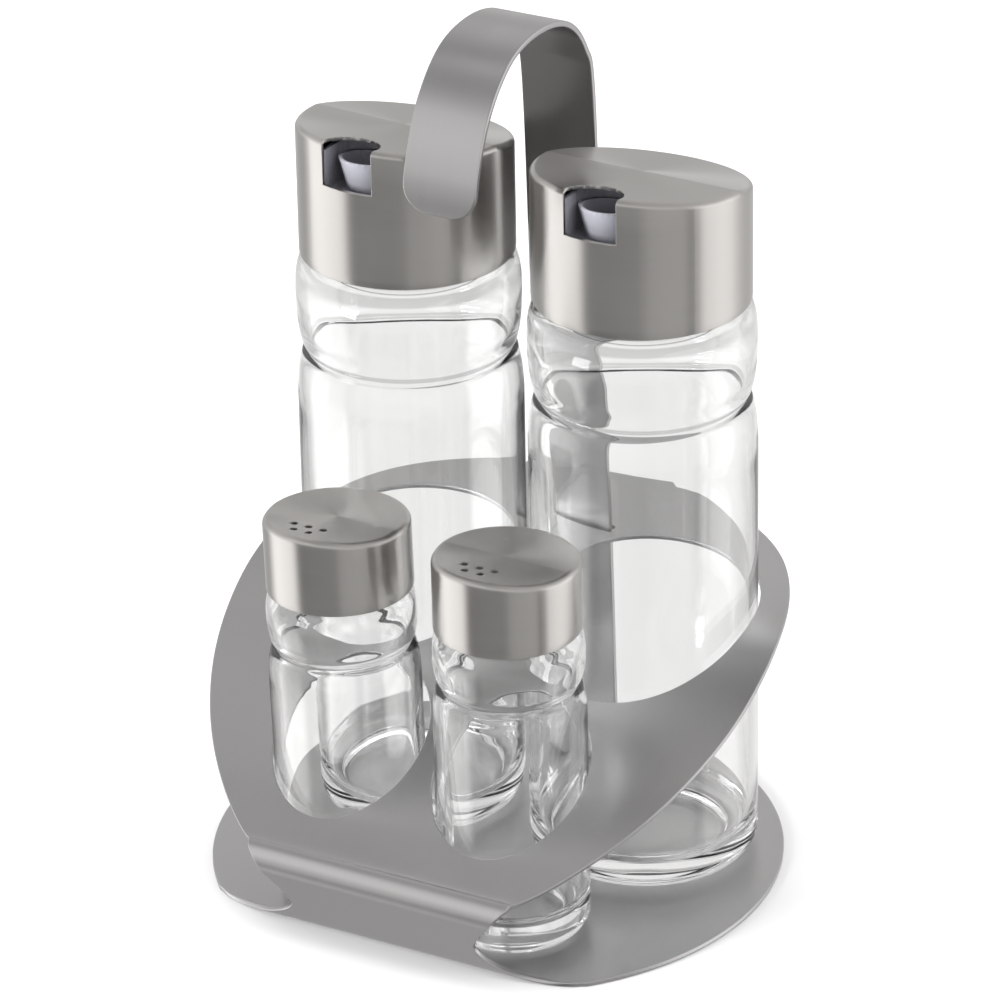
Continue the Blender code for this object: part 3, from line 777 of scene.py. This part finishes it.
def cap_height(y, radius, top):
    """Height of a cap's top above its lower edge, with the crease eased."""
    t = -y / radius
    front = top["crease"] + (top["front"] - top["crease"]) * t
    front -= top["scoop"] * math.sin(math.pi * min(max(t, 0.0), 1.0))
    rear = top["crease"] - (top["rear"] - top["crease"]) * t
    ease = CREASE_R / radius
    share = min(max((t + ease) / (2 * ease), 0.0), 1.0)
    share = share * share * (3 - 2 * share)
    return rear + (front - rear) * share


def cap_profile(radius):
    """Closed profile of the cup: its top is at height 0 and its lower edge at CUP_LOW."""
    inner = radius - SHELL_T
    small = CAP_EDGE_R - SHELL_T
    outer = [(radius * s, 0.0) for s in CUP_TOP_RINGS]
    for a in reversed(quarter_turn(0.0, 8)):
        outer.append((radius - CAP_EDGE_R * (1 - math.cos(a)), -CAP_EDGE_R * (1 - math.sin(a))))
    for a in quarter_turn(0.0, 3):
        outer.append((radius - CAP_BEAD_R * (1 - math.cos(a)),
                      CUP_LOW + CAP_BEAD_R * (1 - math.sin(a))))
    inside = [(inner, CUP_LOW), (inner, -SHELL_T - small)]
    for a in quarter_turn(0.0, 4)[1:]:
        inside.append((inner - small * (1 - math.cos(a)), -SHELL_T - small * (1 - math.sin(a))))
    inside += [(radius * s, -SHELL_T) for s in CUP_UNDER_RINGS]
    return outer + inside


def make_cap(name, vessel, node_name, top, cutters, ease, mat):
    """A thin steel cap: a turned cup whose top is shaped into two slopes, then pierced."""
    low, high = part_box(node_name)
    radius = (high.x - low.x) / 2 / MM
    base = low.z / MM
    work = turned(cap_profile(radius), CAP_STEPS)
    for y in CREASE_CUTS + [-radius * k / FRONT_PARTS for k in range(1, FRONT_PARTS)]:
        slice_at(work, (0.0, y * MM, 0.0), (0.0, 1.0, 0.0))
    for vert in work.verts:
        if vert.co.z < CUP_LOW / 2 * MM:
            vert.co.z += (base - CUP_LOW) * MM
        else:
            vert.co.z += (base + cap_height(vert.co.y / MM, radius, top)) * MM
    for z in CAP_RINGS:
        slice_at(work, (0.0, 0.0, (base + z) * MM), (0.0, 0.0, 1.0))
    item = from_bmesh(name, work, mat, middle(node_name), sharp=SHARP_CAP)
    cut_with(item, [post("cutter", outline, base + low_z, base + high_z, item.location)
                    for outline, low_z, high_z in cutters], ease)
    item.data.set_sharp_from_angle(angle=math.radians(SHARP_CAP))
    settle(item, vessel)
    mount(item, vessel + "_closure", "cap_steel", node_name)


def window_outline():
    """Plan of the pouring window."""
    pts = [(WINDOW_HALF, WINDOW_Y - WINDOW_REACH)]
    for k in range(WINDOW_STEPS + 1):
        a = math.pi * k / WINDOW_STEPS
        pts.append((WINDOW_HALF * math.cos(a), WINDOW_Y + WINDOW_ARCH * math.sin(a)))
    pts.append((-WINDOW_HALF, WINDOW_Y - WINDOW_REACH))
    return pts


def spout_core(low, high, wall, rise, base, where):
    """Funnel between two heights above the cap's lower edge, with a wall taken off its radius."""
    foot = SEAT + FLANGE_T
    work = bmesh.new()
    rings = []
    for k in range(SPOUT_PARTS + 1):
        z = low + (high - low) * k / SPOUT_PARTS
        share = (z - foot) / (SPOUT_TOP - foot)
        radius = SPOUT_R[0] + (SPOUT_R[1] - SPOUT_R[0]) * share - wall
        y = SPOUT_Y[0] + (SPOUT_Y[1] - SPOUT_Y[0]) * share
        slope = rise * k / SPOUT_PARTS
        rings.append([work.verts.new((a * MM, (b + y) * MM, (base + z - slope * b / radius) * MM))
                      for a, b in circle(radius, SPOUT_STEPS)])
    work.faces.new(rings[0])
    work.faces.new(rings[-1])
    for lower, upper in zip(rings, rings[1:]):
        for i in range(SPOUT_STEPS):
            j = (i + 1) % SPOUT_STEPS
            work.faces.new((lower[i], lower[j], upper[j], upper[i]))
    return from_bmesh("spout_core", work, None, where)


def drip_outline():
    """Plan of the wall round the spout: a rounded channel, open towards the window."""
    outer = DRIP_R + DRIP_WALL
    turns = [math.radians(DRIP_START + DRIP_STEP * k) for k in range(DRIP_POINTS)]
    pts = [(outer, DRIP_END_Y)]
    pts += [(outer * math.cos(a), SPOUT_Y[1] + outer * math.sin(a)) for a in turns]
    pts += [(-outer, DRIP_END_Y), (-DRIP_R, DRIP_END_Y)]
    pts += [(DRIP_R * math.cos(a), SPOUT_Y[1] + DRIP_R * math.sin(a)) for a in reversed(turns)]
    pts.append((DRIP_R, DRIP_END_Y))
    return pts


def make_pourer(name, vessel, node_name, mat):
    """Plastic plug, flange and skirt with the leaning spout and its drip wall."""
    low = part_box(node_name)[0].z / MM - SKIRT_END
    seat = low + SEAT
    spot = middle(node_name)
    profile = [(r, start + z) for start, part in ((seat, POURER_FLANGE), (low, POURER_SKIRT),
                                                  (seat, POURER_PLUG)) for r, z in part]
    item = from_bmesh(name, turned(profile, INSERT_STEPS), mat, spot)
    root = SEAT + FLANGE_T - SPOUT_SINK
    dish = SEAT + FLANGE_T - SPOUT_DISH
    over = seat + FLANGE_T
    extras = [spout_core(root, SPOUT_TOP, 0.0, SPOUT_RISE, low, spot),
              post("drip_wall", drip_outline(), low + root, low + DRIP_TOP, spot)]
    for extra in extras:
        join = item.modifiers.new("join", "BOOLEAN")
        join.operation = "UNION"
        join.object = extra
    holes = [spout_core(dish, SPOUT_TOP + SPOUT_RISE + SPOUT_REACH, SPOUT_WALL, 0.0, low, spot),
             post("pour", circle(POUR_R, POUR_STEPS, 0.0, POUR_Y), seat - CUTTER_REACH,
                  over, spot),
             post("vent", circle(VENT_R, VENT_STEPS, 0.0, VENT_Y), seat - CUTTER_REACH,
                  over + CUTTER_REACH, spot)]
    cut_with(item, holes, POURER_EASE)
    for extra in extras:
        bpy.data.objects.remove(extra)
    item.data.shade_smooth()
    item.data.set_sharp_from_angle(angle=math.radians(SHARP_PLAIN))
    settle(item, vessel)
    mount(item, vessel + "_closure", "pourer_plastic", node_name)


def make_ring(name, vessel, node_name, inner, ease, mat):
    """A ring with eased corners that fills its CAD solid's height."""
    low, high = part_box(node_name)
    outer = (high.x - low.x) / 2 / MM
    z0 = low.z / MM
    z1 = high.z / MM
    profile = []
    for cx, cz, start in ((inner + ease, z0 + ease, 180.0), (outer - ease, z0 + ease, 270.0),
                          (outer - ease, z1 - ease, 0.0), (inner + ease, z1 - ease, 90.0)):
        for a in quarter_turn(start, 4):
            profile.append((cx + ease * math.cos(a), cz + ease * math.sin(a)))
    item = from_bmesh(name, turned(profile, INSERT_STEPS, ring=True), mat, middle(node_name),
                      sharp=SHARP_ROUND)
    settle(item, vessel)
    mount(item, vessel + "_closure", "seal_silicone", node_name)


def make_collar(name, vessel, node_name, mat):
    """Plastic collar over the jar's neck, with eased edges."""
    low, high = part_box(node_name)
    z0 = low.z / MM
    z1 = high.z / MM
    seat = z1 - COLLAR_TOP_T
    profile = [(10.8, z1), (15.6, z1), (16.0, z1 - 0.2), (16.2, z1 - 0.6), (16.1, z0 + 0.2),
               (15.9, z0), (15.1, z0), (14.9, z0 + 0.2), (14.9, seat), (10.8, seat),
               (10.6, seat + 0.2), (10.6, z1 - 0.2)]
    item = from_bmesh(name, turned(profile, INSERT_STEPS, ring=True), mat, middle(node_name))
    settle(item, vessel)
    mount(item, vessel + "_closure", "collar_plastic", node_name)


# ---------------------------------------------------------------- studio

def make_studio():
    """Pale floor, soft lamps, a studio of soft panels as the world, and the camera."""
    work = bmesh.new()
    bmesh.ops.create_grid(work, x_segments=1, y_segments=1, size=FLOOR_HALF)
    mat, tree, shader = new_material("pale_floor")
    coords = node(tree, "ShaderNodeTexCoord").outputs["Object"]
    cloud = stretched_noise(tree, coords, FLOOR_CLOUD, EVEN, detail=2.0, rough=0.5)
    tint = node(tree, "ShaderNodeMix", data_type="RGBA", blend_type="MIX")
    tree.links.new(cloud, tint.inputs["Factor"])
    tint.inputs["A"].default_value = (*FLOOR_COLOURS[0], 1.0)
    tint.inputs["B"].default_value = (*FLOOR_COLOURS[1], 1.0)
    tree.links.new(tint.outputs["Result"], shader.inputs["Base Color"])
    shader.inputs["Roughness"].default_value = 0.9
    shader.inputs["Specular IOR Level"].default_value = 0.1
    floor = from_bmesh("floor", work, mat, (0.0, 0.0, FLOOR_DROP))
    floor.visible_glossy = False
    floor.visible_transmission = False

    aim = Vector((0, 0, LAMP_AIM))
    for name, spot, size, power in LAMPS:
        lamp = bpy.data.lights.new(name, "AREA")
        lamp.shape = "SQUARE"
        lamp.size = size
        lamp.energy = power
        holder = bpy.data.objects.new(name, lamp)
        holder.location = spot
        holder.rotation_euler = (aim - Vector(spot)).to_track_quat("-Z", "Y").to_euler()
        holder.visible_glossy = False
        bpy.context.scene.collection.objects.link(holder)

    make_world()
    make_camera()


def make_world():
    """A soft studio of panels. Each ring of panels runs round the horizon at its own height."""
    world = bpy.data.worlds.new("studio")
    bpy.context.scene.world = world
    world.use_nodes = True
    tree = world.node_tree
    background = tree.nodes["Background"]
    split = node(tree, "ShaderNodeSeparateXYZ")
    tree.links.new(node(tree, "ShaderNodeTexCoord").outputs["Generated"], split.inputs[0])
    x, y, z = split.outputs
    angle = math_node(tree, "ARCTAN2", x, math_node(tree, "MULTIPLY", y, -1.0))
    turn = math_node(tree, "DIVIDE", math_node(tree, "SUBTRACT", angle, math.radians(CAMERA_YAW)),
                     2 * math.pi)
    # half a turn puts the camera's side in the middle of each ramp, a whole one keeps it positive
    around = math_node(tree, "FRACT", math_node(tree, "ADD", turn, 1.5))
    level = None
    for low, high, stops in RINGS:
        ring = panel_ring(tree, around, stops)
        if level is None:
            level = ring
            continue
        step = node(tree, "ShaderNodeMapRange", interpolation_type="SMOOTHSTEP")
        tree.links.new(z, step.inputs["Value"])
        step.inputs["From Min"].default_value = low
        step.inputs["From Max"].default_value = high
        change = math_node(tree, "MULTIPLY", math_node(tree, "SUBTRACT", ring, level),
                           step.outputs["Result"])
        level = math_node(tree, "ADD", level, change)
    tree.links.new(level, background.inputs["Strength"])
    background.inputs["Color"].default_value = (*STUDIO_COLOUR, 1.0)


def panel_ring(tree, around, stops):
    """Brightness round the horizon, from stops of degrees right of the camera and brightness."""
    ramp = node(tree, "ShaderNodeValToRGB")
    tree.links.new(around, ramp.inputs[0])
    elements = ramp.color_ramp.elements
    while len(elements) > 1:
        elements.remove(elements[0])
    for k, (degrees, level) in enumerate(stops):
        position = (degrees + 180) / 360
        element = elements[0] if k == 0 else elements.new(position)
        element.position = position
        grey = level / BRIGHTEST
        element.color = (grey, grey, grey, 1.0)
    return math_node(tree, "MULTIPLY", ramp.outputs["Color"], BRIGHTEST)


def make_camera():
    """The camera: in front of the set, to the right of it and above."""
    yaw, pitch, roll = (math.radians(v) for v in (CAMERA_YAW, CAMERA_PITCH, CAMERA_ROLL))
    ahead = Vector((-math.sin(yaw) * math.cos(pitch), math.cos(yaw) * math.cos(pitch),
                    -math.sin(pitch)))
    level = Vector((math.cos(yaw), math.sin(yaw), 0.0))
    up = level.cross(ahead)
    right = math.cos(roll) * level + math.sin(roll) * up
    up = -math.sin(roll) * level + math.cos(roll) * up
    spot = place(*CAMERA_AT)
    camera = bpy.data.objects.new("camera", bpy.data.cameras.new("camera"))
    camera.data.lens = CAMERA_LENS
    camera.data.sensor_width = SENSOR_WIDTH
    camera.data.clip_start = 0.05
    camera.data.clip_end = 20.0
    camera.matrix_world = Matrix(((right.x, up.x, -ahead.x, spot.x),
                                  (right.y, up.y, -ahead.y, spot.y),
                                  (right.z, up.z, -ahead.z, spot.z), (0, 0, 0, 1)))
    bpy.context.scene.collection.objects.link(camera)
    bpy.context.scene.camera = camera


def settings():
    """Plain colours and enough light bounces for three glass vessels in a row."""
    scene = bpy.context.scene
    scene.view_settings.view_transform = "Standard"
    scene.view_settings.look = "None"
    scene.cycles.max_bounces = 24
    scene.cycles.transmission_bounces = 24
    scene.cycles.glossy_bounces = 8
    scene.cycles.diffuse_bounces = 4
    scene.cycles.transparent_max_bounces = 32
    scene.cycles.caustics_reflective = False
    scene.cycles.caustics_refractive = False


def main():
    """Build every piece and the studio."""
    sheet = brushed_steel("brushed_sheet", colour=(0.465, 0.46, 0.462), stretch=(1.0, 0.03, 1.0),
                          rough=0.34, aniso=0.35, turn=0.0)
    strap = brushed_steel("brushed_strap", colour=(0.42, 0.415, 0.417), stretch=(1.0, 0.03, 0.03),
                          rough=0.32, aniso=0.35, turn=0.0)
    cap = brushed_steel("brushed_cap", colour=(0.48, 0.465, 0.452), stretch=(0.05, 1.0, 1.0),
                        rough=0.30, aniso=0.9, turn=0.25, radial=True)
    glass = clear_glass("clear_glass", tint=(0.98, 0.983, 0.982))
    grey = moulded("smoky_plastic", colour=(0.33, 0.33, 0.37), rough=0.4, grain=900.0)
    white = moulded("white_plastic", colour=(0.74, 0.74, 0.73), rough=0.45, grain=900.0)
    silicone = moulded("silicone", colour=(0.80, 0.81, 0.80), rough=0.5, grain=600.0, soft=0.5)
    make_stand(sheet)
    make_strap(strap)
    window = [(window_outline(), WINDOW_FLOOR, WINDOW_TOP)]
    drills = [(circle(SHAKER_DRILL_R, DRILL_STEPS, *spot), *SHAKER_DRILL_Z)
              for spot in SHAKER_DRILLS]
    for side in ("left", "right"):
        cruet = "cruet_" + side
        make_vessel("cruet_glass_" + side, cruet, "cruet_bottle_" + side, CRUET_GLASS, glass)
        make_cap("cruet_steel_cap_" + side, cruet, "cruet_cap_" + side, CRUET_CAP_TOP, window,
                 WINDOW_EASE, cap)
        make_pourer("cruet_spout_" + side, cruet, "cruet_pourer_" + side, grey)
        make_ring("cruet_gasket_" + side, cruet, "cruet_seal_" + side, *CRUET_SEAL, silicone)
        shaker = "shaker_" + side
        make_vessel("shaker_glass_" + side, shaker, "shaker_jar_" + side, SHAKER_GLASS, glass)
        make_cap("shaker_steel_cap_" + side, shaker, "shaker_cap_" + side, SHAKER_CAP_TOP, drills,
                 SHAKER_DRILL_EASE, cap)
        make_collar("shaker_insert_" + side, shaker, "shaker_collar_" + side, white)
        make_ring("shaker_gasket_" + side, shaker, "shaker_seal_" + side, *SHAKER_SEAL, silicone)
    make_studio()
    settings()


main()
